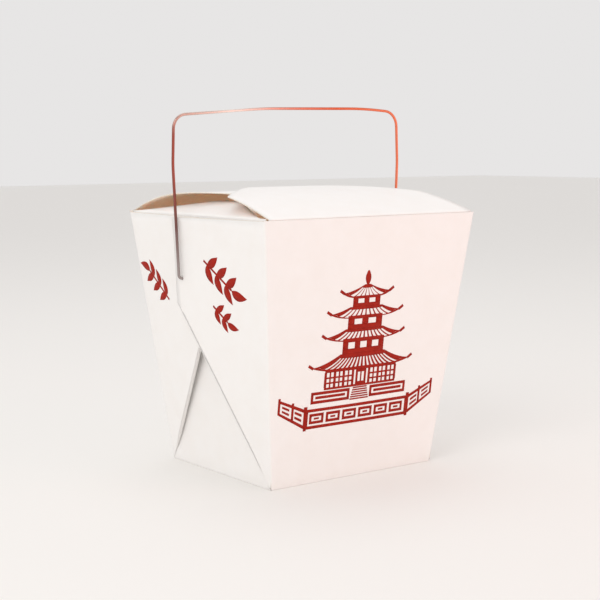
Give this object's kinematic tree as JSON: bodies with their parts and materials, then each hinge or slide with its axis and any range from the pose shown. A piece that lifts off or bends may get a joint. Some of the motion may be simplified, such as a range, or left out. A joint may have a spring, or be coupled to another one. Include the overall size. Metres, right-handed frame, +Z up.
{
  "type": "takeout carton",
  "caption": "Folded board takeout carton with tapered sides, doubled end webs, tucked top flap and swinging wire bail.",
  "frame": {"origin": "middle of the carton's base, on the surface it stands on", "axes": "+Z up; -Y is the decorated front panel, where the top flap hinges; the folded webs and the wire's holes are on +X and -X"},
  "size_m": [0.1198, 0.101, 0.152],
  "materials": {
    "coated_board": "satin",
    "bail_wire": "satin"
  },
  "bodies": {
    "carton_body": {"carton": "coated_board"},
    "flap": {"front_flap": "coated_board"},
    "bail": {"wire_bail": "bail_wire"}
  },
  "joints": [
    {"name": "front_flap_hinge", "type": "hinge", "parent": "carton_body", "child": "flap", "pos_m": [0, -0.0505, 0.108], "axis": [1, 0, 0], "range_deg": [0, 200]},
    {"name": "bail_swing", "type": "hinge", "parent": "carton_body", "child": "bail", "pos_m": [0, 0.0054, 0.082], "axis": [-1, 0, 0], "range_deg": [-132, 145]}
  ]
}
